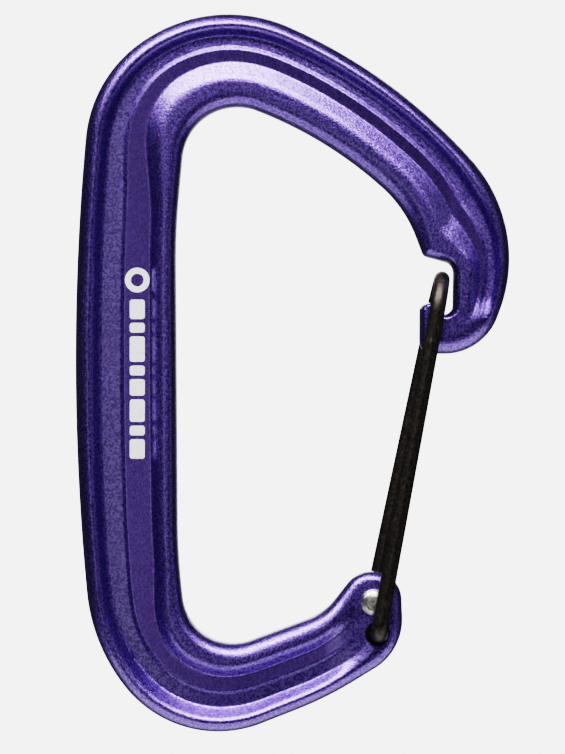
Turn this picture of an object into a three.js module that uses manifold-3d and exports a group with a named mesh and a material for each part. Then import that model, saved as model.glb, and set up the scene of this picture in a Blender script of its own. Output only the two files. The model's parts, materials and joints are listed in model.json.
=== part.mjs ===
// A wire-gate D carabiner: a hot-forged I-beam body with a hooked, notched nose, and a bent wire gate
// whose two ends pass through a flat pivot head and are riveted. Millimetres, +Z up the spine, +X from
// the spine to the gate, Y through the thickness. The origin is the centre of the bounding box.
import * as THREE from "three";
import { mergeVertices } from "three/addons/utils/BufferGeometryUtils.js";
import Module from "manifold-3d";

// Overall sizes of the body
const HEIGHT = 96;
const WIDTH = 58;
const SPINE_WIDTH = 13.45;

// Half thicknesses of the forging, measured from the parting plane
const RIM_HALF = 3.7;
const FLOOR_HALF = 1.6;
const FLOOR_RISE = 0.12;
const LAND_HALF = 1.95;
const RIDGE_HALF = 3.4;
const HEAD_HALF = 2.4;
const NOSE_HALF = 3.2;

// Gate wire, its rivets and its holes
const WIRE_DIAMETER = 2.06;
const HOLE_CLEARANCE = 0.5;
const HOLE_CHAMFER = 0.2;
const RIVET_DIAMETER = 3.58;
const RIVET_DOME = 0.7;
const RIVET_RIM = 0.15;
const RIVET_UNDERCUT = 0.1;
const RIVET_ROOT = 0.1;
const RIVET_GAP = 0.3;
const RIVET_LEG_GAP = 0.4;
const NOSE_LEG_GAP = 0.65;
const BEND_STANDOFF = 0.55;
const HOOK_CROWN_GAP = 0.35;
const NOTCH_WALL_GAP = 0.35;
const CROWN_SPLIT = 0.3;
const PIVOT_SPACING = 4.25;
const PIVOT_OFFSET = 0.55;

// Shape of the edge rounding: the share of the half thickness left as a flat strip on the parting
// line, and the exponent of the superellipse that rounds the rest
const EDGE_STRIP = 0.22;
const EDGE_POWER = 2.3;
const BLEND_SHARE = 0.035;

// Fineness of the faceted solids
const WIRE_SIDES = 12;
const WIRE_STEPS = 56;
const HOLE_SIDES = 32;
const DOME_STEPS = 6;
const END_INSET = 0.12;
const CUTTER_MARGIN = 1;

const LEFT = -WIDTH / 2;
const RIGHT = WIDTH / 2;
const TOP = HEIGHT / 2;
const BOTTOM = -HEIGHT / 2;
const SPINE_INNER = LEFT + SPINE_WIDTH;
const WIRE_RADIUS = WIRE_DIAMETER / 2;
const HOLE_RADIUS = WIRE_RADIUS + HOLE_CLEARANCE;
const RIVET_TOP = HEAD_HALF + RIVET_GAP + RIVET_DOME;
const LEG_Y = Math.max(NOSE_HALF + NOSE_LEG_GAP, RIVET_TOP + RIVET_LEG_GAP) + WIRE_RADIUS;

const HOOK_TOP = TOP - 38.5;
const NOTCH_WALL = RIGHT - 7.7;

// The outline of the body in the XZ plane: name, x, z and fillet radius of each corner, clockwise seen
// from the front, from the end of the pivot head round the outer edge to the hook, then back inside.
const CORNERS = [
  ["head_end", RIGHT - 14.6, BOTTOM + 20.8, 3.8],
  ["head_foot", RIGHT - 14.2, BOTTOM + 10.9, 7.7],
  ["bottom_arm", RIGHT - 24.5, BOTTOM + 4.6, 50],
  ["bottom", LEFT + 13.6, BOTTOM - 3.2, 15.9],
  ["bottom_left", LEFT + 2.1, BOTTOM + 12, 24],
  ["spine_back", LEFT - 1.4, 0.8, 325],
  ["top_left", LEFT + 2, TOP - 8.6, 17.6],
  ["top", LEFT + 18, TOP + 2.9, 20.1],
  ["top_arm", RIGHT - 15.3, TOP - 8, 70],
  ["nose_back", RIGHT + 2.8, TOP - 28.4, 19.8],
  ["nose_foot", RIGHT - 3.5, TOP - 45.5, 7.6],
  ["hook_root", RIGHT - 12.15, TOP - 45.4, 1.7],
  ["hook_side", RIGHT - 12.1, HOOK_TOP - 0.3, 1.1],
  ["hook_point", RIGHT - 10.3, HOOK_TOP, 0.6],
  ["hook_base", RIGHT - 10.1, TOP - 40.1, 0.5],
  ["notch_floor", NOTCH_WALL, TOP - 40.1, 1.2],
  ["notch_roof", NOTCH_WALL + 0.1, TOP - 33.5, 1.5],
  ["shoulder", RIGHT - 11.6, TOP - 32.4, 1],
  ["arm_inner", RIGHT - 14.1, TOP - 25.8, 17],
  ["top_inner", RIGHT - 24.9, TOP - 16.4, 54],
  ["top_left_inner", SPINE_INNER + 1.7, TOP - 9.5, 7.35],
  ["spine_top_inner", SPINE_INNER - 0.1, TOP - 29, 95],
  ["spine_bottom_inner", SPINE_INNER + 0.2, BOTTOM + 23.4, 94],
  ["bottom_left_inner", SPINE_INNER + 1.85, BOTTOM + 9.4, 6.8],
  ["bottom_inner", RIGHT - 24.7, BOTTOM + 16.1, 8.8],
  ["head_inner", RIGHT - 20.1, BOTTOM + 22, 4],
];

// Where the ridges, walls and floors of a section begin and end, as shares of its width from the outer
// edge: end of the rim, foot of its wall, start and end of the step, end of the land, ridge from and to.
const BANDS = {
  flat: [0.3, 0.37, 0.44, 0.5, 0.56, 0.63, 0.7],
  bottom: [0.137, 0.275, 0.42, 0.46, 0.62, 0.735, 0.8],
  spine: [0.155, 0.27, 0.42, 0.46, 0.75, 0.83, 0.9],
  top: [0.14, 0.27, 0.36, 0.41, 0.54, 0.7, 0.8],
  nose: [0.2, 0.26, 0.4, 0.46, 0.54, 0.68, 0.78],
};

// The sections that the body is lofted through: the outer and inner end of the cutting line, each a
// corner and a share of the way to the next one (or back, if negative); the bands; how much of the
// I-beam's relief it has, over a plain bar; that bar's half thickness; the widths of the outer and inner
// rounding; and the number of stations up to the next section.
const SECTIONS = [
  [["head_end", 0], ["head_end", 0], "flat", 0, HEAD_HALF, 1.3, 1.3, 8],
  [["head_foot", 0], ["head_inner", 0], "flat", 0, HEAD_HALF, 1.4, 1.4, 6],
  [["head_foot", 0.5], ["bottom_inner", 0.45], "bottom", 0.25, 2.5, 1.5, 1.6, 5],
  [["bottom_arm", 0], ["bottom_inner", 0], "bottom", 0.85, 2.8, 1.5, 2, 4],
  [["bottom_arm", 0.6], ["bottom_left_inner", 0.45], "bottom", 1, 2.8, 1.5, 2.3, 5],
  [["bottom", 0.4], ["bottom_left_inner", 0], "bottom", 1, 2.8, 1.5, 2, 7],
  [["bottom_left", 0.35], ["spine_bottom_inner", 0], "spine", 1, 2.8, 1.6, 1.4, 4],
  [["spine_back", 0], ["spine_top_inner", 0.5], "spine", 1, 2.8, 1.6, 1.3, 3],
  [["spine_back", 0.5], ["spine_top_inner", 0], "spine", 1, 2.8, 1.6, 1.4, 7],
  [["top_left", 0.5], ["top_left_inner", 0], "top", 1, 2.8, 1.8, 2, 9],
  [["top", 0.75], ["top_inner", 0.1], "top", 1, 2.8, 1.9, 2.3, 5],
  [["top_arm", 0.45], ["arm_inner", 0.15], "top", 1, 2.8, 1.8, 2.6, 5],
  [["nose_back", -0.3], ["shoulder", 0], "top", 0.9, 2.9, 1.7, 1.8, 6],
  [["nose_back", -0.05], ["notch_roof", 0.5], "top", 0.8, 3, 1.7, 1.2, 5],
  [["nose_back", 0.2], ["notch_roof", 0], "nose", 0.7, 3, 1.7, 1.1, 6],
  [["nose_back", 0.55], ["notch_floor", 0.45], "nose", 0.6, 3.1, 1.8, 1.1, 5],
  [["nose_foot", -0.15], ["notch_floor", 0], "nose", 0, NOSE_HALF, 1.9, 1, 5],
  [["nose_foot", 0.45], ["notch_floor", -0.5], "flat", 0, NOSE_HALF, 1.8, 0.8, 6],
  [["hook_root", 0], ["hook_base", 0], "flat", 0, NOSE_HALF, 0.9, 0.6, 3],
  [["hook_root", 0.6], ["hook_base", -0.4], "flat", 0, NOSE_HALF, 0.6, 0.5, 8],
  [["hook_side", 0.5], ["hook_side", 0.5], "flat", 0, NOSE_HALF, 0.5, 0.5, 0],
].map(([outer, inner, bands, depth, flat, roundOuter, roundInner, stations]) => {
  return { outer, inner, bands, depth, flat, roundOuter, roundInner, stations };
});

// Shares of the way from an edge to the nearest band where the loft has a point, for the rounding
const OUTER_ROUND_SHARES = [0, 0.06, 0.17, 0.36, 0.65];
const INNER_ROUND_SHARES = [0.65, 0.36, 0.17, 0.06, 0];

// Shares of the width up to which the outer rounding holds, and from which the inner one does
const OUTER_SIDE_TO = 0.4;
const INNER_SIDE_FROM = 0.6;

// Points on the rivet's dome, as shares of its radius and of its height
const DOME_SHARES = [
  [0.86, 0.62],
  [0.5, 0.93],
];

const wasm = await Module();
wasm.setup();

// Outline

function filletAt(corners, index) {
  const [, x, z, radius] = corners[index];
  const [, x0, z0] = corners[(index + corners.length - 1) % corners.length];
  const [, x1, z1] = corners[(index + 1) % corners.length];
  const corner = new THREE.Vector2(x, z);
  const back = new THREE.Vector2(x0, z0).sub(corner).normalize();
  const ahead = new THREE.Vector2(x1, z1).sub(corner).normalize();
  const halfAngle = Math.acos(THREE.MathUtils.clamp(back.dot(ahead), -1, 1)) / 2;
  const reach = radius / Math.tan(halfAngle);
  const centre = back.clone().add(ahead).normalize().multiplyScalar(radius / Math.sin(halfAngle)).add(corner);
  const start = corner.clone().addScaledVector(back, reach);
  const end = corner.clone().addScaledVector(ahead, reach);
  const turn = Math.PI - 2 * halfAngle;
  const sweep = back.cross(ahead) > 0 ? -turn : turn;
  const from = Math.atan2(start.y - centre.y, start.x - centre.x);
  return { kind: "arc", centre, radius, from, sweep, start, end, length: radius * turn };
}

// The outline as a ring of arcs and straight lines, each with the arc length at which it starts.
function ringOf(corners) {
  const arcs = corners.map((_, index) => filletAt(corners, index));
  const pieces = [];
  const middles = new Map();
  let total = 0;
  arcs.forEach((arc, index) => {
    middles.set(corners[index][0], total + arc.length / 2);
    pieces.push({ ...arc, at: total });
    total += arc.length;
    const next = arcs[(index + 1) % arcs.length];
    const line = { kind: "line", start: arc.end, end: next.start, at: total };
    line.length = line.start.distanceTo(line.end);
    pieces.push(line);
    total += line.length;
  });
  return { pieces, middles, total, names: corners.map((corner) => corner[0]) };
}

const ring = ringOf(CORNERS);

function pointAt(distance) {
  const wrapped = THREE.MathUtils.euclideanModulo(distance, ring.total);
  const piece = ring.pieces.findLast((candidate) => candidate.at <= wrapped);
  const share = piece.length > 0 ? (wrapped - piece.at) / piece.length : 0;
  if (piece.kind === "line") return piece.start.clone().lerp(piece.end, share);
  const angle = piece.from + piece.sweep * share;
  return new THREE.Vector2(Math.cos(angle), Math.sin(angle)).multiplyScalar(piece.radius).add(piece.centre);
}

// The arc length of a corner's middle, moved by a share of the way to its neighbour.
function distanceOf([name, share]) {
  const names = ring.names;
  const neighbour = names[(names.indexOf(name) + (share < 0 ? names.length - 1 : 1)) % names.length];
  const here = ring.middles.get(name);
  let there = ring.middles.get(neighbour);
  if (share >= 0 && there < here) there += ring.total;
  return here + Math.abs(share) * (there - here);
}

function distanceToPiece(piece, point) {
  if (piece.kind === "line") {
    const along = piece.end.clone().sub(piece.start);
    const share = point.clone().sub(piece.start).dot(along) / Math.max(along.lengthSq(), 1e-12);
    const foot = piece.start.clone().addScaledVector(along, THREE.MathUtils.clamp(share, 0, 1));
    return foot.distanceTo(point);
  }
  const angle = Math.atan2(point.y - piece.centre.y, point.x - piece.centre.x);
  const ahead = THREE.MathUtils.euclideanModulo((angle - piece.from) * Math.sign(piece.sweep), 2 * Math.PI);
  if (ahead > Math.abs(piece.sweep)) return Infinity;
  return Math.abs(piece.centre.distanceTo(point) - piece.radius);
}

function distanceToEdge(point) {
  return Math.min(...ring.pieces.map((piece) => distanceToPiece(piece, point)));
}

// Loft

// A smooth curve through evenly spaced values that never overshoots them.
function monotone(values) {
  const steps = values.slice(1).map((value, i) => value - values[i]);
  const slopes = values.map((_, i) => {
    if (i === 0) return steps[0];
    if (i === values.length - 1) return steps[i - 1];
    const product = steps[i - 1] * steps[i];
    return product > 0 ? (2 * product) / (steps[i - 1] + steps[i]) : 0;
  });
  return (place) => {
    const i = Math.min(Math.floor(place), values.length - 2);
    const t = place - i;
    const base = values[i] + steps[i] * t * t * (3 - 2 * t);
    return base + slopes[i] * t * (1 - t) * (1 - t) - slopes[i + 1] * t * t * (1 - t);
  };
}

// Arc lengths of the cutting lines' ends; the inner edge is followed backwards from the head to the hook.
function cuttingLineCurves() {
  const outer = SECTIONS.map((section) => distanceOf(section.outer));
  const inner = SECTIONS.map((section) => distanceOf(section.inner));
  inner[0] += ring.total;
  outer[0] += END_INSET;
  inner[0] -= END_INSET;
  outer[outer.length - 1] -= END_INSET;
  inner[inner.length - 1] += END_INSET;
  return { outer: monotone(outer), inner: monotone(inner) };
}

function sectionCurves() {
  const along = (pick) => monotone(SECTIONS.map(pick));
  return {
    ...cuttingLineCurves(),
    depth: along((section) => section.depth),
    flat: along((section) => section.flat),
    roundOuter: along((section) => section.roundOuter),
    roundInner: along((section) => section.roundInner),
    bands: BANDS.flat.map((_, i) => along((section) => BANDS[section.bands][i])),
  };
}

// The bar's half thickness across a section before its edges are rounded: straight slopes between the
// band edges, each change of slope spread over a short parabola.
function reliefAt(share, bands, blend) {
  const floorEnd = FLOOR_HALF + FLOOR_RISE;
  const heights = [RIM_HALF, FLOOR_HALF, floorEnd, LAND_HALF, LAND_HALF, RIDGE_HALF, RIDGE_HALF];
  let height = heights[0];
  let slopeBefore = 0;
  bands.forEach((start, i) => {
    const last = i === bands.length - 1;
    const slope = last ? 0 : (heights[i + 1] - heights[i]) / (bands[i + 1] - start);
    const past = share - start;
    let ramp = 0;
    if (past >= blend) ramp = past;
    else if (past > -blend) ramp = (past + blend) ** 2 / (4 * blend);
    height += (slope - slopeBefore) * ramp;
    slopeBefore = slope;
  });
  return height;
}

function edgeRounding(distance, width) {
  const inward = THREE.MathUtils.clamp(distance / width, 0, 1);
  const curve = (1 - (1 - inward) ** EDGE_POWER) ** (1 / EDGE_POWER);
  return EDGE_STRIP + (1 - EDGE_STRIP) * curve;
}

function stationAt(curves, place) {
  const outer = pointAt(curves.outer(place));
  const inner = pointAt(curves.inner(place));
  const bands = curves.bands.map((curve) => curve(place));
  const lastBand = bands[bands.length - 1];
  const shares = [
    ...OUTER_ROUND_SHARES.map((share) => share * bands[0]),
    ...bands.flatMap((band, i) => (i < bands.length - 1 ? [band, (band + bands[i + 1]) / 2] : [band])),
    ...INNER_ROUND_SHARES.map((share) => 1 - share * (1 - lastBand)),
  ];
  return shares.map((share) => {
    const point = outer.clone().lerp(inner, share);
    const relief = reliefAt(share, bands, BLEND_SHARE);
    const depth = curves.depth(place);
    const bar = curves.flat(place) * (1 - depth) + relief * depth;
    const width = THREE.MathUtils.lerp(
      curves.roundOuter(place),
      curves.roundInner(place),
      THREE.MathUtils.smoothstep(share, OUTER_SIDE_TO, INNER_SIDE_FROM),
    );
    return { x: point.x, z: point.y, half: bar * edgeRounding(distanceToEdge(point), width) };
  });
}

// Each station gives a closed ring of points, the front face outwards to inwards and the back face home.
function bodyGeometry() {
  const curves = sectionCurves();
  const places = SECTIONS.flatMap((section, i) =>
    Array.from({ length: section.stations }, (_, step) => i + step / section.stations),
  );
  places.push(SECTIONS.length - 1);
  const count = places.length - 1;
  const positions = [];
  const indices = [];
  let ringSize = 0;
  for (const place of places) {
    const points = stationAt(curves, place);
    ringSize = 2 * points.length;
    points.forEach((point) => positions.push(point.x, -point.half, point.z));
    points.reverse().forEach((point) => positions.push(point.x, point.half, point.z));
  }
  for (let i = 0; i < count; i++) {
    for (let j = 0; j < ringSize; j++) {
      const a = i * ringSize + j;
      const b = i * ringSize + ((j + 1) % ringSize);
      indices.push(a, b, a + ringSize, b, b + ringSize, a + ringSize);
    }
  }
  const last = count * ringSize;
  for (let j = 0; j < ringSize / 2 - 1; j++) {
    const k = ringSize - 1 - j;
    indices.push(j, k, j + 1, k, k - 1, j + 1);
    indices.push(last + j, last + j + 1, last + k, last + k, last + j + 1, last + k - 1);
  }
  const geometry = new THREE.BufferGeometry();
  geometry.setAttribute("position", new THREE.Float32BufferAttribute(positions, 3));
  geometry.setIndex(indices);
  return geometry;
}

// Solids

function solidOf(geometry) {
  const bare = geometry.clone();
  bare.deleteAttribute("normal");
  bare.deleteAttribute("uv");
  const merged = mergeVertices(bare, 1e-4);
  const vertProperties = new Float32Array(merged.attributes.position.array);
  const triVerts = new Uint32Array(merged.index.array);
  return new wasm.Manifold(new wasm.Mesh({ numProp: 3, vertProperties, triVerts }));
}

function geometryOf(solid) {
  const mesh = solid.getMesh();
  const geometry = new THREE.BufferGeometry();
  geometry.setAttribute("position", new THREE.Float32BufferAttribute(mesh.vertProperties, mesh.numProp));
  geometry.setIndex(new THREE.BufferAttribute(mesh.triVerts, 1));
  geometry.computeVertexNormals();
  return geometry;
}

// Gate

// The front leg turns in the lower hole and the back leg in the upper one.
const frontPivot = new THREE.Vector2(RIGHT - 17.7, BOTTOM + 13.25);
const backPivot = new THREE.Vector2(frontPivot.x - PIVOT_OFFSET, frontPivot.y + PIVOT_SPACING);
const innerLoopRadius = LEG_Y - WIRE_RADIUS;
const crownOverHook = LEG_Y - Math.sqrt(innerLoopRadius ** 2 - NOSE_HALF ** 2);
const crownTop = new THREE.Vector2(
  NOTCH_WALL - NOTCH_WALL_GAP - WIRE_RADIUS,
  HOOK_TOP + HOOK_CROWN_GAP + crownOverHook,
);

// One leg's centre line, from its rivet through the hole, round the bend, up the leg and over half of the
// crown. "side" is -1 for the leg on the front face and 1 for the one on the back.
class LegCurve extends THREE.CurvePath {
  constructor(pivot, side) {
    super();
    const leanOut = crownTop.clone().sub(pivot).normalize();
    const reach = crownTop.distanceTo(pivot);
    const bend = LEG_Y - HEAD_HALF - BEND_STANDOFF;
    const at = (up, out) => new THREE.Vector3(pivot.x + leanOut.x * up, side * out, pivot.y + leanOut.y * up);
    const quarter = (centreUp, centreOut, radius, from, to) => {
      const arc = new THREE.Curve();
      arc.getPoint = (t, target = new THREE.Vector3()) => {
        const angle = THREE.MathUtils.lerp(from, to, t);
        return target.copy(at(centreUp + radius * Math.sin(angle), centreOut + radius * Math.cos(angle)));
      };
      return arc;
    };
    const rivetFoot = -(HEAD_HALF + RIVET_GAP + RIVET_ROOT);
    this.add(new THREE.LineCurve3(at(0, rivetFoot), at(0, LEG_Y - bend)));
    this.add(quarter(bend, LEG_Y - bend, bend, -Math.PI / 2, 0));
    this.add(new THREE.LineCurve3(at(bend, LEG_Y), at(reach - LEG_Y, LEG_Y)));
    const splitAngle = Math.acos(CROWN_SPLIT / 2 / LEG_Y);
    this.add(quarter(reach - LEG_Y, 0, LEG_Y, 0, splitAngle));
  }
}

function wireGeometry(pivot, side) {
  const section = new THREE.Shape();
  section.absarc(0, 0, WIRE_RADIUS, 0, 2 * Math.PI, false);
  return new THREE.ExtrudeGeometry(section, {
    steps: WIRE_STEPS,
    curveSegments: WIRE_SIDES / 2,
    extrudePath: new LegCurve(pivot, side),
  });
}

// The domed head that is formed on the wire's end, standing on the face opposite the leg.
function rivetGeometry(pivot, side) {
  const radius = RIVET_DIAMETER / 2;
  const dome = new THREE.SplineCurve([
    new THREE.Vector2(radius, RIVET_RIM),
    ...DOME_SHARES.map(([out, up]) => new THREE.Vector2(radius * out, RIVET_DOME * up)),
    new THREE.Vector2(0, RIVET_DOME),
  ]);
  const seat = [new THREE.Vector2(0, 0), new THREE.Vector2(radius - RIVET_UNDERCUT, 0)];
  const profile = [...seat, ...dome.getPoints(DOME_STEPS)];
  profile[profile.length - 1].x = 0;
  const geometry = new THREE.LatheGeometry(profile, HOLE_SIDES);
  if (side > 0) geometry.rotateX(Math.PI);
  geometry.translate(0, -side * (HEAD_HALF + RIVET_GAP), 0);
  return geometry.translate(pivot.x, 0, pivot.y);
}

function legSolid(pivot, side) {
  return solidOf(wireGeometry(pivot, side)).add(solidOf(rivetGeometry(pivot, side)));
}

// A hole through the head with a small chamfer at both faces.
function holeCutter(pivot) {
  const beyond = RIM_HALF + CUTTER_MARGIN;
  const profile = [
    new THREE.Vector2(0, -beyond),
    new THREE.Vector2(HOLE_RADIUS + HOLE_CHAMFER, -beyond),
    new THREE.Vector2(HOLE_RADIUS + HOLE_CHAMFER, -HEAD_HALF),
    new THREE.Vector2(HOLE_RADIUS, -HEAD_HALF + HOLE_CHAMFER),
    new THREE.Vector2(HOLE_RADIUS, HEAD_HALF - HOLE_CHAMFER),
    new THREE.Vector2(HOLE_RADIUS + HOLE_CHAMFER, HEAD_HALF),
    new THREE.Vector2(HOLE_RADIUS + HOLE_CHAMFER, beyond),
    new THREE.Vector2(0, beyond),
  ];
  return solidOf(new THREE.LatheGeometry(profile, HOLE_SIDES).translate(pivot.x, 0, pivot.y));
}

function bodySolid() {
  return solidOf(bodyGeometry()).subtract(holeCutter(frontPivot)).subtract(holeCutter(backPivot));
}

// Assembly

const anodised = { color: 0x4a3696, metalness: 0.9, roughness: 0.38 };
const blackened = { color: 0x1c1a19, metalness: 0.8, roughness: 0.42 };

function node(name, solid, finish) {
  const mesh = new THREE.Mesh(geometryOf(solid), new THREE.MeshStandardMaterial(finish));
  mesh.name = name;
  return mesh;
}

const carabiner = new THREE.Group();
carabiner.add(node("body", bodySolid(), anodised));
carabiner.add(node("gate_wire_front_leg", legSolid(frontPivot, -1), blackened));
carabiner.add(node("gate_wire_back_leg", legSolid(backPivot, 1), blackened));

export default carabiner;
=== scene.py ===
"""Looks for a wire-gate D carabiner: a forged, blasted and anodised I-beam body, one bent gate wire in
blackened steel, its two riveted heads in bare steel, and a plain white print on the spine.

Shapes are worked out in millimetres and built in metres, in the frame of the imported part.
"""
import json
import math

import bmesh
import bpy
import numpy as np
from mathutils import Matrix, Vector
from mathutils.bvhtree import BVHTree


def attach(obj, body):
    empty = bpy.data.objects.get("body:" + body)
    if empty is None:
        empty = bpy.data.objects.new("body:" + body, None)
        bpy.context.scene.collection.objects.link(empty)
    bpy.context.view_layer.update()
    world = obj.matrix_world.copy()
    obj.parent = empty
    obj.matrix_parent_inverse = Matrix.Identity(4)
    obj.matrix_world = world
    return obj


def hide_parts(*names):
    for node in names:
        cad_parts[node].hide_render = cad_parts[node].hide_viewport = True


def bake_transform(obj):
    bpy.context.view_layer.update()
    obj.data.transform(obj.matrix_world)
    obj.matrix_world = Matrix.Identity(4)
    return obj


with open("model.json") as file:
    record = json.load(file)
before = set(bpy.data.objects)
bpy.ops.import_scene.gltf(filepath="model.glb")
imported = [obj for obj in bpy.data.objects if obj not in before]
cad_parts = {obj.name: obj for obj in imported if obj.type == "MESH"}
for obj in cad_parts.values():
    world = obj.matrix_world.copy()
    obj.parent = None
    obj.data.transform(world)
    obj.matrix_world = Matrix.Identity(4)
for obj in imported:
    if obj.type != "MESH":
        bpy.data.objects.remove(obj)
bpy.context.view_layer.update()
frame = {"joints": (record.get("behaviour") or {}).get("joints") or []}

MM = 0.001
# Keeps the shares along pieces of no length finite.
TINY = 1e-9

# ---------------------------------------------------------------- sizes, in millimetres

HEIGHT = 96.0
WIDTH = 58.0
SPINE_WIDTH = 13.45
RIM_HALF = 3.7
FLOOR_HALF = 1.55
LAND_HALF = 1.95
RIDGE_HALF = 3.4
HEAD_HALF = 2.4
NOSE_HALF = 3.2
FLOOR_RISE = 0.12

LEFT = -WIDTH / 2
RIGHT = WIDTH / 2
TOP = HEIGHT / 2
BOTTOM = -HEIGHT / 2
SPINE_INNER = LEFT + SPINE_WIDTH
HOOK_TOP = TOP - 38.5
NOTCH_WALL = RIGHT - 7.7

WIRE_RADIUS = 1.03
HOLE_RADIUS = 1.53
HOLE_ROUND = 0.28
LEG_Y = 4.88
PIVOT_SPACING = 4.25
PIVOT_OFFSET = 0.55
BEND_STANDOFF = 0.55
RIVET_RADIUS = 1.79
RIVET_HEIGHT = 0.98
RIVET_SEAT = 0.09
RIVET_DIMPLE = 0.03

# ---------------------------------------------------------------- rounding of the body

# Power of the curve that rounds the outer and inner edges.
EDGE_POWER = 2.3
# How far the outer rounding reaches, as a share of the size in the table of sections.
OUTER_ROUND_SHARE = 1.5
# How far each crease between two bands is rounded, as a share of a section's width.
CREASES = (0.03, 0.018, 0.008, 0.008, 0.014, 0.05, 0.03)
# The outer rounding holds up to the first share of a section's width, the inner one from the second.
OUTER_SIDE_TO, INNER_SIDE_FROM = 0.4, 0.6
# The most of a section's width that the columns of one rounded edge take up.
MOST_EDGE_SHARE = 0.35
# How far the end sections stay off their corners, in millimetres.
END_INSET = 0.01
# Where the land's smoother finish fades in and out, from the land's start and from its end, as shares
# of a section's width.
LAND_FADE_IN = (-0.01, 0.02)
LAND_FADE_OUT = (-0.04, 0.03)

# ---------------------------------------------------------------- fineness of the meshes

PLACES_TRIED = 24001
# Steps along the body's edges in millimetres: the finer one from this row of the table of sections on.
STATION_STEP = 0.25
HOOK_STATION_STEP = 0.14
HOOK_FROM_SECTION = 15
EDGE_COLUMNS = 12
MIDDLE_COLUMNS = 64
CUTTER_SIDES = 96
ROUND_POINTS = 7
WIRE_SIDES = 40
# Step along the wire's straight runs, in millimetres.
WIRE_STEP = 0.32
BEND_POINTS = 20
CROWN_POINTS = 72
RIVET_SIDES = 56

# Angles in degrees from which an edge is shaded sharp.
METAL_SHARP = 60
RIVET_SHARP = 50
PRINT_SHARP = 40

# ---------------------------------------------------------------- tables of the body

# Corners of the outline: name, x, z and fillet radius, clockwise from the end of the pivot head round
# the outer edge to the hook, then back along the inner edge.
CORNERS = [
    ("head_end", RIGHT - 14.6, BOTTOM + 20.8, 3.8),
    ("head_foot", RIGHT - 14.2, BOTTOM + 10.9, 7.7),
    ("bottom_arm", RIGHT - 24.5, BOTTOM + 4.6, 50),
    ("bottom", LEFT + 13.6, BOTTOM - 3.2, 15.9),
    ("bottom_left", LEFT + 2.1, BOTTOM + 12, 24),
    ("spine_back", LEFT - 1.4, 0.8, 325),
    ("top_left", LEFT + 2, TOP - 8.6, 17.6),
    ("top", LEFT + 18, TOP + 2.9, 20.1),
    ("top_arm", RIGHT - 15.3, TOP - 8, 70),
    ("nose_back", RIGHT + 2.8, TOP - 28.4, 19.8),
    ("nose_foot", RIGHT - 3.5, TOP - 45.5, 7.6),
    ("hook_root", RIGHT - 12.15, TOP - 45.4, 1.7),
    ("hook_side", RIGHT - 12.1, HOOK_TOP - 0.3, 1.1),
    ("hook_point", RIGHT - 10.3, HOOK_TOP, 0.6),
    ("hook_base", RIGHT - 10.1, TOP - 40.1, 0.5),
    ("notch_floor", NOTCH_WALL, TOP - 40.1, 1.2),
    ("notch_roof", NOTCH_WALL + 0.1, TOP - 33.5, 1.5),
    ("shoulder", RIGHT - 11.6, TOP - 32.4, 1),
    ("arm_inner", RIGHT - 14.1, TOP - 25.8, 17),
    ("top_inner", RIGHT - 24.9, TOP - 16.4, 54),
    ("top_left_inner", SPINE_INNER + 1.7, TOP - 9.5, 7.35),
    ("spine_top_inner", SPINE_INNER - 0.1, TOP - 29, 95),
    ("spine_bottom_inner", SPINE_INNER + 0.2, BOTTOM + 23.4, 94),
    ("bottom_left_inner", SPINE_INNER + 1.85, BOTTOM + 9.4, 6.8),
    ("bottom_inner", RIGHT - 24.7, BOTTOM + 16.1, 8.8),
    ("head_inner", RIGHT - 20.1, BOTTOM + 22, 4),
]

# Shares of a section's width from the outer edge: end of the rim, foot of its wall, start and end of
# the step, end of the land, ridge from and to.
BANDS = {
    "flat": (0.3, 0.37, 0.44, 0.5, 0.56, 0.63, 0.7),
    "bottom": (0.137, 0.275, 0.42, 0.46, 0.62, 0.735, 0.8),
    "spine": (0.15, 0.24, 0.45, 0.475, 0.75, 0.83, 0.9),
    "top": (0.145, 0.235, 0.345, 0.385, 0.52, 0.7, 0.8),
    "nose": (0.2, 0.26, 0.4, 0.46, 0.54, 0.68, 0.78),
}

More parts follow.
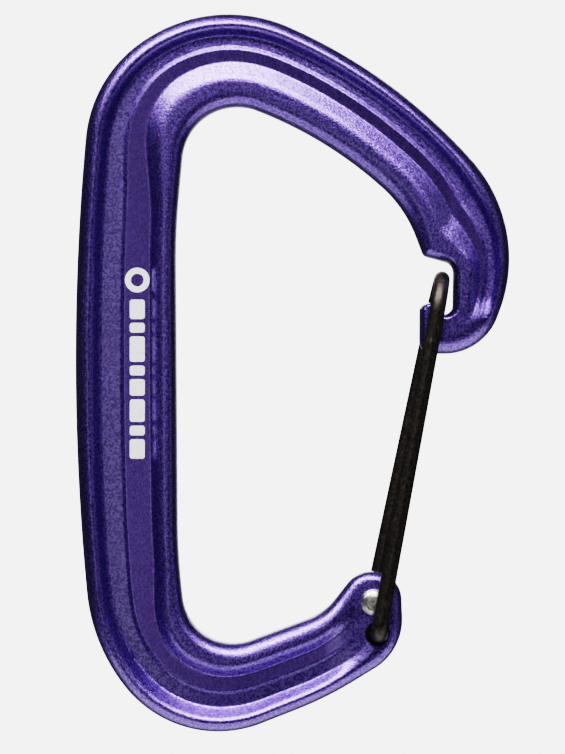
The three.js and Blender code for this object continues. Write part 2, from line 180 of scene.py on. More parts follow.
# Outer and inner end of the cutting line, each a corner and a share of the way to the next (back, if
# negative); bands; depth of the relief; half thickness of the plain bar; outer and inner rounding.
SECTIONS = [
    ("head_end", 0, "head_end", 0, "flat", 0, HEAD_HALF, 1.3, 1.3),
    ("head_foot", 0, "head_inner", 0, "flat", 0, HEAD_HALF, 1.4, 1.4),
    ("head_foot", 0.5, "bottom_inner", 0.45, "bottom", 0.25, 2.5, 1.5, 1.6),
    ("bottom_arm", 0, "bottom_inner", 0, "bottom", 0.85, 2.8, 1.5, 2),
    ("bottom_arm", 0.6, "bottom_left_inner", 0.45, "bottom", 1, 2.8, 1.5, 2.3),
    ("bottom", 0.4, "bottom_left_inner", 0, "bottom", 1, 2.8, 1.5, 2),
    ("bottom_left", 0.35, "spine_bottom_inner", 0, "spine", 1, 2.8, 1.6, 1.4),
    ("spine_back", 0, "spine_top_inner", 0.5, "spine", 1, 2.8, 1.6, 1.3),
    ("spine_back", 0.5, "spine_top_inner", 0, "spine", 1, 2.8, 1.6, 1.4),
    ("top_left", 0.5, "top_left_inner", 0, "top", 1, 2.8, 1.8, 2),
    ("top", 0.75, "top_inner", 0.1, "top", 1, 2.8, 1.9, 2.3),
    ("top_arm", 0.45, "arm_inner", 0.15, "top", 1, 2.8, 1.8, 2.6),
    ("nose_back", -0.3, "shoulder", 0, "top", 0.9, 2.9, 1.7, 1.8),
    ("nose_back", -0.05, "notch_roof", 0.5, "top", 0.8, 3, 1.7, 1.2),
    ("nose_back", 0.2, "notch_roof", 0, "nose", 0.7, 3, 1.7, 1.1),
    ("nose_back", 0.55, "notch_floor", 0.45, "nose", 0.6, 3.1, 1.8, 1.1),
    ("nose_foot", -0.15, "notch_floor", 0, "nose", 0, NOSE_HALF, 1.9, 1),
    ("nose_foot", 0.45, "notch_floor", -0.5, "flat", 0, NOSE_HALF, 1.8, 0.8),
    ("hook_root", 0, "hook_base", 0, "flat", 0, NOSE_HALF, 0.9, 0.6),
    ("hook_root", 0.6, "hook_base", -0.4, "flat", 0, NOSE_HALF, 0.6, 0.5),
    ("hook_side", 0.5, "hook_side", 0.5, "flat", 0, NOSE_HALF, 0.5, 0.5),
]


# ---------------------------------------------------------------- outline of the body


def unit(v):
    return v / np.linalg.norm(v)


class Outline:
    """The corners joined by straight lines and rounded by their fillets, followed by arc length."""

    def __init__(self, corners):
        self.names = [corner[0] for corner in corners]
        arcs = [self._fillet(corners, i) for i in range(len(corners))]
        self.pieces = []
        self.middles = {}
        self.total = 0.0
        for i, arc in enumerate(arcs):
            self.middles[self.names[i]] = self.total + arc["length"] / 2
            self._add(arc)
            start, end = arc["end"], arcs[(i + 1) % len(arcs)]["start"]
            self._add({"arc": False, "start": start, "end": end, "length": np.linalg.norm(end - start)})
        self.starts = np.array([piece["at"] for piece in self.pieces])

    def _add(self, piece):
        piece["at"] = self.total
        self.pieces.append(piece)
        self.total += piece["length"]

    @staticmethod
    def _fillet(corners, i):
        corner = np.array(corners[i][1:3], float)
        radius = corners[i][3]
        back = unit(np.array(corners[i - 1][1:3]) - corner)
        ahead = unit(np.array(corners[(i + 1) % len(corners)][1:3]) - corner)
        half_angle = math.acos(float(np.clip(back @ ahead, -1, 1))) / 2
        reach = radius / math.tan(half_angle)
        centre = corner + unit(back + ahead) * radius / math.sin(half_angle)
        start, end = corner + back * reach, corner + ahead * reach
        turn = math.pi - 2 * half_angle
        crossed = back[0] * ahead[1] - back[1] * ahead[0]
        return {
            "arc": True, "centre": centre, "radius": radius, "start": start, "end": end,
            "from": math.atan2(start[1] - centre[1], start[0] - centre[0]),
            "sweep": -turn if crossed > 0 else turn, "length": radius * turn,
        }

    def points_at(self, distances):
        wrapped = np.mod(distances, self.total)
        which = np.searchsorted(self.starts, wrapped, side="right") - 1
        points = np.empty((len(wrapped), 2))
        for index in np.unique(which):
            piece = self.pieces[index]
            rows = which == index
            share = (wrapped[rows] - piece["at"]) / max(piece["length"], TINY)
            if piece["arc"]:
                angle = piece["from"] + piece["sweep"] * share
                turned = np.stack([np.cos(angle), np.sin(angle)], axis=1)
                points[rows] = piece["centre"] + piece["radius"] * turned
            else:
                points[rows] = piece["start"] + np.outer(share, piece["end"] - piece["start"])
        return points

    def distance_of(self, name, share):
        """The arc length of a corner's middle, moved by a share of the way to its neighbour."""
        step = -1 if share < 0 else 1
        neighbour = self.names[(self.names.index(name) + step) % len(self.names)]
        here, there = self.middles[name], self.middles[neighbour]
        if share >= 0 and there < here:
            there += self.total
        return here + abs(share) * (there - here)

    def edge_distance(self, points):
        nearest = np.full(len(points), np.inf)
        for piece in self.pieces:
            if piece["arc"]:
                offset = points - piece["centre"]
                angle = np.arctan2(offset[:, 1], offset[:, 0]) - piece["from"]
                ahead = np.mod(angle * np.sign(piece["sweep"]), 2 * math.pi)
                distance = np.abs(np.hypot(offset[:, 0], offset[:, 1]) - piece["radius"])
                distance[ahead > abs(piece["sweep"])] = np.inf
            else:
                along = piece["end"] - piece["start"]
                share = (points - piece["start"]) @ along / max(along @ along, TINY)
                foot = piece["start"] + np.outer(np.clip(share, 0, 1), along)
                distance = np.linalg.norm(points - foot, axis=1)
            nearest = np.minimum(nearest, distance)
        return nearest


def monotone(values):
    """A smooth curve through evenly spaced values that never overshoots them."""
    values = np.array(values, float)
    steps = np.diff(values)
    slopes = np.empty(len(values))
    slopes[0], slopes[-1] = steps[0], steps[-1]
    products = steps[:-1] * steps[1:]
    sums = steps[:-1] + steps[1:]
    slopes[1:-1] = np.where(products > 0, 2 * products / np.where(sums == 0, 1, sums), 0)

    def curve(places):
        i = np.minimum(places.astype(int), len(values) - 2)
        t = places - i
        base = values[i] + steps[i] * t * t * (3 - 2 * t)
        return base + slopes[i] * t * (1 - t) ** 2 - slopes[i + 1] * t * t * (1 - t)

    return curve


def smoothstep(x, low, high):
    t = np.clip((x - low) / (high - low), 0, 1)
    return t * t * (3 - 2 * t)


# ---------------------------------------------------------------- body


def section_curves(outline):
    outer = [outline.distance_of(*row[0:2]) for row in SECTIONS]
    inner = [outline.distance_of(*row[2:4]) for row in SECTIONS]
    inner[0] += outline.total
    outer[0] += END_INSET
    inner[0] -= END_INSET
    outer[-1] -= END_INSET
    inner[-1] += END_INSET
    curves = {"outer": monotone(outer), "inner": monotone(inner)}
    for key, column in (("depth", 5), ("flat", 6), ("round_outer", 7), ("round_inner", 8)):
        curves[key] = monotone([row[column] for row in SECTIONS])
    curves["bands"] = [
        monotone([BANDS[row[4]][k] for row in SECTIONS]) for k in range(len(CREASES))
    ]
    return curves


def station_places(curves):
    """Places along the loft, so close that neither edge moves further than a station step."""
    fine = np.linspace(0, len(SECTIONS) - 1, PLACES_TRIED)
    moved = np.maximum(*(np.abs(np.diff(curves[edge](fine))) for edge in ("outer", "inner")))
    step = np.where(fine[1:] > HOOK_FROM_SECTION, HOOK_STATION_STEP, STATION_STEP)
    needed = np.concatenate([[0], np.cumsum(moved / step)])
    return np.interp(np.linspace(0, needed[-1], int(needed[-1]) + 1), needed, fine)


def column_shares(length, round_outer, round_inner):
    """Shares across each section: close together where the edges are rounded, even in between."""
    angles = np.linspace(0, math.pi / 2, EDGE_COLUMNS + 1)
    edge = 1 - np.cos(angles) ** (2 / EDGE_POWER)
    outer = np.minimum(round_outer / length, MOST_EDGE_SHARE)[:, None]
    inner = np.minimum(round_inner / length, MOST_EDGE_SHARE)[:, None]
    middle = np.linspace(0, 1, MIDDLE_COLUMNS + 2)[1:-1]
    return np.concatenate(
        [outer * edge, outer + (1 - inner - outer) * middle, 1 - inner * edge[::-1]], axis=1
    )


def relief_at(shares, bands):
    """Half thickness across the I-beam: straight slopes between the bands, joined by parabolas."""
    floor_end = FLOOR_HALF + FLOOR_RISE
    heights = [RIM_HALF, FLOOR_HALF, floor_end, LAND_HALF, LAND_HALF, RIDGE_HALF, RIDGE_HALF]
    slopes = [
        (heights[k + 1] - heights[k]) / (bands[k + 1] - bands[k]) for k in range(len(bands) - 1)
    ]
    height = np.full(shares.shape, RIM_HALF)
    slope_before = 0.0
    for start, slope, blend in zip(bands, slopes + [0.0], CREASES):
        past = shares - start[:, None]
        ramp = np.where(past >= blend, past, (past + blend) ** 2 / (4 * blend))
        ramp[past <= -blend] = 0
        height += np.reshape(slope - slope_before, (-1, 1)) * ramp
        slope_before = slope
    return height


def body_sheet(outline):
    """Grids of x, z, half thickness and the share of the smoother finish, a row for each station."""
    curves = section_curves(outline)
    places = station_places(curves)
    outer = outline.points_at(curves["outer"](places))
    inner = outline.points_at(curves["inner"](places))
    length = np.linalg.norm(outer - inner, axis=1)
    round_outer = OUTER_ROUND_SHARE * curves["round_outer"](places)
    round_inner = curves["round_inner"](places)
    shares = column_shares(length, round_outer, round_inner)
    points = outer[:, None, :] + shares[:, :, None] * (inner - outer)[:, None, :]
    bands = [band(places) for band in curves["bands"]]
    depth = curves["depth"](places)[:, None]
    bar = curves["flat"](places)[:, None] * (1 - depth) + relief_at(shares, bands) * depth
    side = smoothstep(shares, OUTER_SIDE_TO, INNER_SIDE_FROM)
    width = round_outer[:, None] * (1 - side) + round_inner[:, None] * side
    distance = outline.edge_distance(points.reshape(-1, 2)).reshape(shares.shape)
    distance[:, 0] = 0
    distance[:, -1] = 0
    inward = np.clip(distance / width, 0, 1)
    half = bar * (1 - (1 - inward) ** EDGE_POWER) ** (1 / EDGE_POWER)
    land_from, land_to = bands[3][:, None], bands[4][:, None]
    on_land = smoothstep(shares, land_from + LAND_FADE_IN[0], land_from + LAND_FADE_IN[1])
    on_land *= 1 - smoothstep(shares, land_to + LAND_FADE_OUT[0], land_to + LAND_FADE_OUT[1])
    return points[:, :, 0], points[:, :, 1], half, on_land * depth


def mesh_object(name, vertices, faces, material):
    mesh = bpy.data.meshes.new(name)
    mesh.from_pydata([tuple(v) for v in vertices], [], faces)
    mesh.validate()
    mesh.shade_smooth()
    mesh.materials.append(material)
    obj = bpy.data.objects.new(name, mesh)
    bpy.context.scene.collection.objects.link(obj)
    return obj


def closed_faces(rings, size):
    """Quads between closed rings that follow each other in the vertex list, and a cap at each end."""
    faces = []
    for i in range(rings - 1):
        here, there = i * size, (i + 1) * size
        for j in range(size):
            k = (j + 1) % size
            faces.append((here + j, here + k, there + k, there + j))
    faces.append(tuple(range(size - 1, -1, -1)))
    faces.append(tuple(range((rings - 1) * size, rings * size)))
    return faces


def face_outward(mesh):
    bm = bmesh.new()
    bm.from_mesh(mesh)
    bmesh.ops.recalc_face_normals(bm, faces=bm.faces)
    bm.to_mesh(mesh)
    bm.free()


def make_body(material):
    x, z, half, land = body_sheet(Outline(CORNERS))
    front = np.stack([x, -half, z], axis=2)
    back = np.stack([x, half, z], axis=2)[:, -2:0:-1]
    vertices = np.concatenate([front, back], axis=1)
    smooth = np.concatenate([land, land[:, -2:0:-1]], axis=1)
    faces = closed_faces(*vertices.shape[:2])
    body = mesh_object("body_forging", vertices.reshape(-1, 3) * MM, faces, material)
    body.data.attributes.new("land", "FLOAT", "POINT").data.foreach_set("value", smooth.reshape(-1))
    return body


def hole_profile():
    """Radius and height of the cutter: a bore that opens in a small round at each face."""
    rounds = np.linspace(0, math.pi / 2, ROUND_POINTS)
    opening = [
        (HOLE_RADIUS + HOLE_ROUND * (1 - math.sin(a)), HEAD_HALF - HOLE_ROUND * (1 - math.cos(a)))
        for a in rounds
    ]
    upper = [(HOLE_RADIUS + HOLE_ROUND, RIM_HALF + 1), *opening]
    return upper + [(radius, -height) for radius, height in reversed(upper)]


def lathe(name, profile, centre, sides, material):
    """A profile of radius and height turned about the Y axis through centre, closed at both ends."""
    vertices = []
    for radius, height in profile:
        for k in range(sides):
            a = 2 * math.pi * k / sides
            vertices.append((radius * math.cos(a) * MM, height * MM, radius * math.sin(a) * MM))
    obj = mesh_object(name, vertices, closed_faces(len(profile), sides), material)
    face_outward(obj.data)
    obj.location = centre
    return obj


def drill(body, pivot, material):
    cutter = lathe("cutter", hole_profile(), pivot, CUTTER_SIDES, material)
    bpy.context.view_layer.update()
    cut = body.modifiers.new("hole", "BOOLEAN")
    cut.operation = "DIFFERENCE"
    cut.solver = "MANIFOLD"
    cut.object = cutter
    depsgraph = bpy.context.evaluated_depsgraph_get()
    drilled = bpy.data.meshes.new_from_object(body.evaluated_get(depsgraph))
    body.modifiers.clear()
    body.data = drilled
    bpy.data.objects.remove(cutter)


# ---------------------------------------------------------------- gate wire


def leg_path(pivot, crown, side):
    """Centre line of one leg, from inside its rivet head, through the hole and round the bend, up to
    where the crown begins. side is the leg's side of the body: -1 for the front."""
    lean = unit(crown - pivot)
    reach = np.linalg.norm(crown - pivot)
    bend = LEG_Y - HEAD_HALF - BEND_STANDOFF
    plan = [(0.0, -(HEAD_HALF + RIVET_HEIGHT / 2))]
    plan += [(0.0, out) for out in np.arange(-HEAD_HALF, LEG_Y - bend, WIRE_STEP)]
    for a in np.linspace(-math.pi / 2, 0, BEND_POINTS):
        plan.append((bend + bend * math.sin(a), LEG_Y - bend + bend * math.cos(a)))
    plan += [(up, LEG_Y) for up in np.arange(bend + WIRE_STEP / 2, reach - LEG_Y, WIRE_STEP)]
    return [
        np.array([pivot[0] + lean[0] * up, side * out, pivot[1] + lean[1] * up]) for up, out in plan
    ]


def crown_path(front_pivot, back_pivot, crown):
    """Centre line of the crown's half turn, which eases from one leg's lean into the other's."""
    points = []
    for a in np.linspace(0, math.pi, CROWN_POINTS):
        w = float(smoothstep(np.array(a), 0, math.pi))
        at = np.zeros(2)
        for pivot, share in ((front_pivot, 1 - w), (back_pivot, w)):
            reach = np.linalg.norm(crown - pivot)
            at += share * (pivot + unit(crown - pivot) * (reach - LEG_Y + LEG_Y * math.sin(a)))
        points.append(np.array([at[0], -LEG_Y * math.cos(a), at[1]]))
    return points


def tube(name, path, material):
    """A closed round tube along a path, whose rings don't twist about it."""
    path = np.array(path)
    tangents = np.gradient(path, axis=0)
    tangents /= np.linalg.norm(tangents, axis=1)[:, None]
    normal = np.cross(tangents[0], (1.0, 0.0, 0.0))
    vertices = []
    for point, tangent in zip(path, tangents):
        normal = unit(normal - tangent * (normal @ tangent))
        binormal = np.cross(tangent, normal)
        for k in range(WIRE_SIDES):
            a = 2 * math.pi * k / WIRE_SIDES
            around = math.cos(a) * normal + math.sin(a) * binormal
            vertices.append((point + WIRE_RADIUS * around) * MM)
    obj = mesh_object(name, vertices, closed_faces(len(path), WIRE_SIDES), material)
    obj.data.set_sharp_from_angle(angle=math.radians(METAL_SHARP))
    return obj


def rivet_profile():
    """Radius and height of a spun head: a low dome with a rolled rim and a shallow dimple."""
    # Pairs of a share of the head's radius and a height.
    rim = [(0.93, 0.0), (0.985, 0.04), (1, 0.13), (0.99, 0.24)]
    dome = [(0.95, 0.37), (0.88, 0.52), (0.78, 0.67), (0.65, 0.81), (0.5, 0.91), (0.35, 0.96)]
    dimple = [
        (0.22, RIVET_HEIGHT),
        (0.1, RIVET_HEIGHT - RIVET_DIMPLE / 2),
        (0.02, RIVET_HEIGHT - RIVET_DIMPLE),
    ]
    return [(RIVET_RADIUS * share, height) for share, height in rim + dome + dimple]


def make_rivet(name, pivot, side, material):
    """One head, on the face away from its leg. side is the leg's side, as in leg_path."""
    seat = HEAD_HALF + RIVET_SEAT
    profile = [(radius, -side * (seat + height)) for radius, height in rivet_profile()]
    centre = (pivot[0] * MM, 0, pivot[1] * MM)
    rivet = lathe(name, profile, centre, RIVET_SIDES, material)
    rivet.data.set_sharp_from_angle(angle=math.radians(RIVET_SHARP))
    return rivet


# ---------------------------------------------------------------- print, in millimetres

PRINT_X = -20.75
PRINT_PROUD = 0.018
PRINT_SUNK = 0.05
PRINT_RAY_FROM = -20
RING_Z = 12.4
RING_RADII = (1.65, 1.25, 0.85)
RING_SIDES = 40
BARS_TOP = 9.8
BAR_LENGTHS = (2.6, 1.3, 3.4, 1.3, 2.2, 3.0, 1.3, 2.6)
BAR_HALF_WIDTH = 1.0
BAR_GAP = 0.5
BAR_CORNER = 0.35
BAR_INSETS = (0, 0.35, 0.7)


def print_patch(vertices, faces, tree, loops, open_middle=False):
    """Adds one closed film on the body: the surface between loops of points that shrink inwards, a
    little proud of the metal and a little sunk into it. Without open_middle the last loop is filled."""
    count = len(loops[0])
    start = len(vertices)
    for offset in (PRINT_PROUD, -PRINT_SUNK):
        for points in loops:
            for x, z in points:
                ray_start = Vector((x * MM, PRINT_RAY_FROM * MM, z * MM))
                hit = tree.ray_cast(ray_start, Vector((0, 1, 0)))[0]
                vertices.append((x * MM, hit.y - offset * MM, z * MM))
    under = len(loops) * count
    last = len(loops) - 1

    def at(layer, loop, k):
        return start + layer * under + loop * count + k % count

    for k in range(count):
        for loop in range(last):
            here, there = loop, loop + 1
            faces.append((at(0, here, k), at(0, here, k + 1), at(0, there, k + 1), at(0, there, k)))
            faces.append((at(1, here, k), at(1, there, k), at(1, there, k + 1), at(1, here, k + 1)))
        faces.append((at(0, 0, k), at(1, 0, k), at(1, 0, k + 1), at(0, 0, k + 1)))
        if open_middle:
            faces.append((at(0, last, k), at(0, last, k + 1), at(1, last, k + 1), at(1, last, k)))
    if not open_middle:
        faces.append(tuple(at(0, last, k) for k in range(count)))
        faces.append(tuple(at(1, last, k) for k in range(count - 1, -1, -1)))


def bar_outline(centre_z, half_length, inset):
    """A rounded rectangle on the spine, drawn in by a share of its size."""
    points = []
    keep = 1 - inset
    radius = min(BAR_CORNER, half_length, BAR_HALF_WIDTH) * keep
    across, along = BAR_HALF_WIDTH * keep - radius, half_length * keep - radius
    for corner, (side_x, side_z) in enumerate(((1, 1), (-1, 1), (-1, -1), (1, -1))):
        for turn in np.linspace(0, math.pi / 2, ROUND_POINTS):
            a = corner * math.pi / 2 + turn
            x = side_x * across + radius * math.cos(a)
            z = side_z * along + radius * math.sin(a)
            points.append((PRINT_X + x, centre_z + z))
    return points


def ring_outline(radius):
    turns = [2 * math.pi * k / RING_SIDES for k in range(RING_SIDES)]
    return [(PRINT_X + radius * math.cos(a), RING_Z + radius * math.sin(a)) for a in turns]


def make_print(body, material):
    """A plain mark in the place of a printed one: a ring and a row of bars of different lengths."""
    tree = BVHTree.FromObject(body, bpy.context.evaluated_depsgraph_get())
    vertices, faces = [], []
    print_patch(vertices, faces, tree, [ring_outline(radius) for radius in RING_RADII], open_middle=True)
    top = BARS_TOP
    for length in BAR_LENGTHS:
        half = length / 2
        print_patch(vertices, faces, tree, [bar_outline(top - half, half, inset) for inset in BAR_INSETS])
        top -= length + BAR_GAP
    made = mesh_object("spine_print", vertices, faces, material)
    face_outward(made.data)
    made.data.set_sharp_from_angle(angle=math.radians(PRINT_SHARP))
    return made


# ---------------------------------------------------------------- materials


class Graph:
    """A material's node tree, built with short calls."""

    def __init__(self, name, base, metallic, roughness, coat=0.0, coat_roughness=0.1):
        self.material = bpy.data.materials.new(name)
        self.material.use_nodes = True
        self.nodes = self.material.node_tree.nodes
        self.links = self.material.node_tree.links
        self.shader = self.nodes["Principled BSDF"]
        self.shader.inputs["Base Color"].default_value = (*base, 1)
        self.shader.inputs["Metallic"].default_value = metallic
        self.shader.inputs["Roughness"].default_value = roughness
        self.shader.inputs["Coat Weight"].default_value = coat
        self.shader.inputs["Coat Roughness"].default_value = coat_roughness
        self.place = self.nodes.new("ShaderNodeTexCoord").outputs["Object"]

    def node(self, kind, inputs=(), **settings):
        made = self.nodes.new(kind)
        for key, value in settings.items():
            setattr(made, key, value)
        for key, value in dict(inputs).items():
            if isinstance(value, bpy.types.NodeSocket):
                self.links.new(value, made.inputs[key])
            else:
                made.inputs[key].default_value = value
        return made

    def noise(self, scale, detail, roughness):
        return self._noise_at(self.place, scale, detail, roughness)

    def _noise_at(self, place, scale, detail, roughness):
        inputs = {"Vector": place, "Scale": scale, "Detail": detail, "Roughness": roughness}
        return self.node("ShaderNodeTexNoise", inputs).outputs["Fac"]

    def scaled(self, scale):
        """The place on the object, with each axis scaled by itself."""
        return self.node("ShaderNodeMapping", {"Vector": self.place, "Scale": scale}).outputs["Vector"]

    def streaks(self, scales, roughness):
        """Noise with its own scale along each axis, drawn out along the axis of the smallest."""
        return self._noise_at(self.scaled(scales), 1.0, 2.0, roughness)

    def math(self, operation, a, b=0.0):
        return self.node("ShaderNodeMath", {0: a, 1: b}, operation=operation).outputs[0]

    def times(self, a, b):
        return self.math("MULTIPLY", a, b)

    def plus(self, a, b):
        return self.math("ADD", a, b)

    def span(self, value, from_low, from_high, to_low, to_high):
        """The value's range from_low to from_high, mapped to the range to_low to to_high."""
        inputs = {0: value, 1: from_low, 2: from_high, 3: to_low, 4: to_high}
        return self.node("ShaderNodeMapRange", inputs, clamp=True).outputs[0]

    def mix(self, share, a, b):
        """Colour a mixed with colour b by a share, each a socket or a value."""
        made = self.node("ShaderNodeMix", data_type="RGBA")
        for key, value in ((0, share), (6, a), (7, b)):
            if isinstance(value, bpy.types.NodeSocket):
                self.links.new(value, made.inputs[key])
            else:
                made.inputs[key].default_value = value if key == 0 else (*value, 1)
        return made.outputs[2]

    def bump(self, height, strength, distance):
        inputs = {"Height": height, "Strength": strength, "Distance": distance}
        return self.node("ShaderNodeBump", inputs).outputs["Normal"]

    def complete(self, colour, roughness, normal):
        for key, value in (("Base Color", colour), ("Roughness", roughness), ("Normal", normal)):
            self.links.new(value, self.shader.inputs[key])
        return self.material


def anodised():
    """Violet anodising over a blasted forging: speckled grain whose light specks are painted sparkle,
    smoother on the pressed land.
    """
    g = Graph("anodised_aluminium", (0.13, 0.075, 0.55), 1.0, 0.36, coat=0.7, coat_roughness=0.16)
    land = g.node("ShaderNodeAttribute", attribute_name="land").outputs["Fac"]
    grain = g.noise(3300, 3.0, 0.6)
    fine = g.noise(9000, 2.0, 0.6)
    cloud = g.noise(120, 2.0, 0.5)
    drawn = g.streaks((900, 900, 60), 0.5)
    deep, painted_sparkle_violet = (0.085, 0.055, 0.29), (0.29, 0.22, 0.70)
    land_violet, cloud_violet = (0.19, 0.12, 0.48), (0.2, 0.13, 0.52)
    # The grain's tint is partly the metal's own random tone and partly painted sparkle: its light specks
    # stand in for glints off the blasted bumps.
    tint = g.mix(g.span(grain, 0.4, 0.6, 0.0, 1.0), deep, painted_sparkle_violet)
    # On the smoother land an even violet takes the place of most of the painted sparkle.
    tint = g.mix(g.times(land, 0.7), tint, land_violet)
    tint = g.mix(g.span(cloud, 0.35, 0.7, 0.0, 0.3), tint, cloud_violet)
    blasted = g.span(land, 0.0, 1.0, 1.0, 0.25)
    rough = g.plus(g.span(fine, 0.3, 0.7, 0.2, 0.28), g.times(blasted, 0.07))
    rough = g.plus(rough, g.span(drawn, 0.4, 0.7, 0.0, 0.03))
    height = g.plus(grain, g.times(fine, 0.45))
    return g.complete(tint, rough, g.bump(height, g.times(blasted, 0.6), 0.0001))


def blackened():
    """Black-finished spring wire: satin, a little brown, scuffed, rubbed bright in small places."""
    g = Graph("blackened_steel", (0.03, 0.027, 0.025), 0.85, 0.36)
    grain = g.noise(2600, 3.0, 0.65)
    patch = g.noise(420, 3.0, 0.6)
    scratch = g.streaks((5200, 5200, 260), 0.7)
    worn = g.times(g.span(patch, 0.6, 0.74, 0.0, 1.0), g.span(scratch, 0.5, 0.62, 0.0, 1.0))
    black, brown, rubbed = (0.03, 0.026, 0.023), (0.07, 0.06, 0.052), (0.27, 0.235, 0.2)
    tint = g.mix(g.span(grain, 0.35, 0.7, 0.0, 1.0), black, brown)
    tint = g.mix(g.times(worn, 0.75), tint, rubbed)
    rough = g.math("SUBTRACT", g.span(grain, 0.3, 0.7, 0.33, 0.46), g.times(worn, 0.08))
    height = g.plus(g.times(grain, 0.6), scratch)
    return g.complete(tint, rough, g.bump(height, 0.25, 0.00004))


def bare_steel():
    """Spun rivet heads: rings left by the forming tool, small dents and a faint warm tint."""
    g = Graph("bare_steel", (0.62, 0.59, 0.55), 1.0, 0.3)
    from_axis = g.node("ShaderNodeVectorMath", {0: g.scaled((1, 0, 1))}, operation="LENGTH")
    wobble = g.noise(900, 2.0, 0.5)
    turned = g.plus(g.times(from_axis.outputs["Value"], 21000), g.times(wobble, 5))
    rings = g.math("SINE", turned)
    dents = g.noise(2200, 2.0, 0.6)
    tint = g.mix(g.span(wobble, 0.35, 0.65, 0.0, 1.0), (0.42, 0.39, 0.355), (0.7, 0.67, 0.62))
    rough = g.span(dents, 0.3, 0.7, 0.24, 0.42)
    height = g.plus(g.times(rings, 0.3), dents)
    return g.complete(tint, rough, g.bump(height, 0.35, 0.00005))


def white_ink():
    """Pad-printed ink, thin enough to show a little of the metal's grain."""
    g = Graph("white_ink", (0.93, 0.93, 0.95), 0.0, 0.45)
    grain = g.noise(3500, 2.0, 0.6)
    tint = g.mix(g.span(grain, 0.3, 0.48, 1.0, 0.0), (0.94, 0.94, 0.96), (0.72, 0.7, 0.84))
    rough = g.span(grain, 0.3, 0.7, 0.38, 0.55)
    return g.complete(tint, rough, g.bump(grain, 0.2, 0.00003))


# ---------------------------------------------------------------- studio

# Places and sizes are in metres, the lights' powers in watts, and the camera's lens and sensor in
# millimetres.
FLOOR_Z = -0.3
FLOOR_RADIUS = 2.4
FLOOR_SIDES = 96
FLOOR_GREY = (0.3, 0.3, 0.3, 1)
FLOOR_ROUGHNESS = 0.9
FLOOR_GLOW = 5.6
ROOM_RADIUS = 3.2
ROOM_SUBDIVISIONS = 5
ROOM_GLOW = (2.42, 2.42, 2.42, 1)
WORLD_COLOUR = (0.035, 0.035, 0.04, 1)

# Name, place, width and height, and power. They all face the part.
LIGHTS = [
    ("top_box", (-0.1, -0.3, 0.57), (0.9, 0.42), 13),
    ("left_card", (-0.17, -0.75, -0.1), (0.17, 0.5), 0.22),
    ("right_card", (0.62, -0.16, 0.05), (0.4, 0.8), 0.18),
    ("under_card", (0, 0, -0.28), (0.9, 0.4), 1.3),
    ("back_box", (0.05, 0.85, 0.22), (0.5, 0.3), 1.2),
    ("back_fill", (0.1, 1, -0.1), (0.5, 0.5), 0.45),
]

CAMERA_LENS = 200.0
CAMERA_SENSOR = 36.0
CAMERA_CLIP = 0.01
FRAME_HEIGHT = 0.1008
CAMERA_X = -0.0014
CAMERA_Z = -0.00052


def make_floor():
    """A pale floor that glows enough to hide its edge, and adds no light to the metal."""
    material = bpy.data.materials.new("floor_pale")
    material.use_nodes = True
    shader = material.node_tree.nodes["Principled BSDF"]
    shader.inputs["Base Color"].default_value = FLOOR_GREY
    shader.inputs["Roughness"].default_value = FLOOR_ROUGHNESS
    shader.inputs["Emission Color"].default_value = FLOOR_GREY
    shader.inputs["Emission Strength"].default_value = FLOOR_GLOW
    turns = [2 * math.pi * k / FLOOR_SIDES for k in range(FLOOR_SIDES)]
    vertices = [(FLOOR_RADIUS * math.cos(a), FLOOR_RADIUS * math.sin(a), FLOOR_Z) for a in turns]
    floor = mesh_object("floor", vertices, [tuple(range(FLOOR_SIDES))], material)
    floor.visible_glossy = False
    floor.visible_diffuse = False


def make_room():
    """A pale surround that only the camera sees, so that it is no light on the metal."""
    bm = bmesh.new()
    bmesh.ops.create_icosphere(bm, subdivisions=ROOM_SUBDIVISIONS, radius=ROOM_RADIUS)
    bmesh.ops.reverse_faces(bm, faces=bm.faces)
    mesh = bpy.data.meshes.new("room")
    bm.to_mesh(mesh)
    bm.free()
    room = bpy.data.objects.new("room", mesh)
    bpy.context.scene.collection.objects.link(room)
    material = bpy.data.materials.new("room_pale")
    material.use_nodes = True
    nodes = material.node_tree.nodes
    nodes.clear()
    glow = nodes.new("ShaderNodeEmission")
    glow.inputs["Color"].default_value = ROOM_GLOW
    out = nodes.new("ShaderNodeOutputMaterial")
    material.node_tree.links.new(glow.outputs[0], out.inputs["Surface"])
    mesh.materials.append(material)
    room.visible_diffuse = False
    room.visible_glossy = False
    room.visible_transmission = False
    room.visible_shadow = False


def add_light(name, place, size, power):
    data = bpy.data.lights.new(name, "AREA")
    data.shape = "RECTANGLE"
    data.size, data.size_y = size
    data.energy = power
    light = bpy.data.objects.new(name, data)
    light.location = place
    towards_part = Vector((0, 0, 0)) - Vector(place)
    light.rotation_euler = towards_part.to_track_quat("-Z", "Y").to_euler()
    bpy.context.scene.collection.objects.link(light)


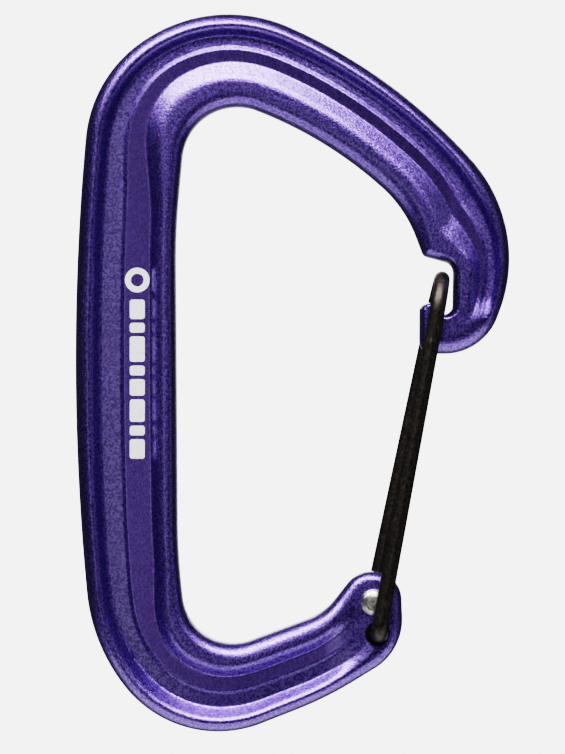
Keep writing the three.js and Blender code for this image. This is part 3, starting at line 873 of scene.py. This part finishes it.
def make_studio():
    make_floor()
    make_room()
    world = bpy.data.worlds.new("studio")
    world.use_nodes = True
    world.node_tree.nodes["Background"].inputs["Color"].default_value = WORLD_COLOUR
    bpy.context.scene.world = world
    for light in LIGHTS:
        add_light(*light)
    bpy.context.scene.view_settings.view_transform = "Filmic"
    bpy.context.scene.view_settings.look = "High Contrast"


def make_camera():
    """Looks along +Y from so far away that the part fills the frame."""
    data = bpy.data.cameras.new("camera")
    data.lens = CAMERA_LENS
    data.sensor_width = CAMERA_SENSOR
    data.clip_start = CAMERA_CLIP
    camera = bpy.data.objects.new("camera", data)
    camera.location = (CAMERA_X, -FRAME_HEIGHT * CAMERA_LENS / CAMERA_SENSOR, CAMERA_Z)
    camera.rotation_euler = (math.pi / 2, 0, 0)
    bpy.context.scene.collection.objects.link(camera)
    bpy.context.scene.camera = camera


# ---------------------------------------------------------------- assembly

# x and z of the two hinges and of the back leg's hole, in millimetres.
hinges = {joint["name"]: np.array(joint["pos_m"])[[0, 2]] / MM for joint in frame["joints"]}
front_pivot, crown_top = hinges["gate"], hinges["crown_twist"]
back_pivot = front_pivot + (-PIVOT_OFFSET, PIVOT_SPACING)

make_camera()
make_studio()

violet = anodised()
black = blackened()
steel = bare_steel()

body = make_body(violet)
for pivot in (front_pivot, back_pivot):
    drill(body, (pivot[0] * MM, 0, pivot[1] * MM), violet)
body.data.set_sharp_from_angle(angle=math.radians(METAL_SHARP))
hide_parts("body")
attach(body, "frame")

spine_print = make_print(body, white_ink())
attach(spine_print, "frame")

front_path = leg_path(front_pivot, crown_top, -1)
back_path = leg_path(back_pivot, crown_top, 1)
turn_path = crown_path(front_pivot, back_pivot, crown_top)

front_leg = tube("gate_wire_front", front_path, black)
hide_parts("gate_wire_front_leg")
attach(front_leg, "gate_front")

back_leg = tube("gate_wire_back", back_path, black)
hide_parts("gate_wire_back_leg")
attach(back_leg, "gate_back")

# The crown starts and ends inside the last step of each leg, so that no gap shows between them.
crown = tube("gate_wire_crown", front_path[-2:] + turn_path + back_path[:-3:-1], black)
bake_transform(crown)

rivet_back = make_rivet("rivet_head_lower", front_pivot, -1, steel)
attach(rivet_back, "gate_front")
rivet_front = make_rivet("rivet_head_upper", back_pivot, 1, steel)
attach(rivet_front, "gate_back")
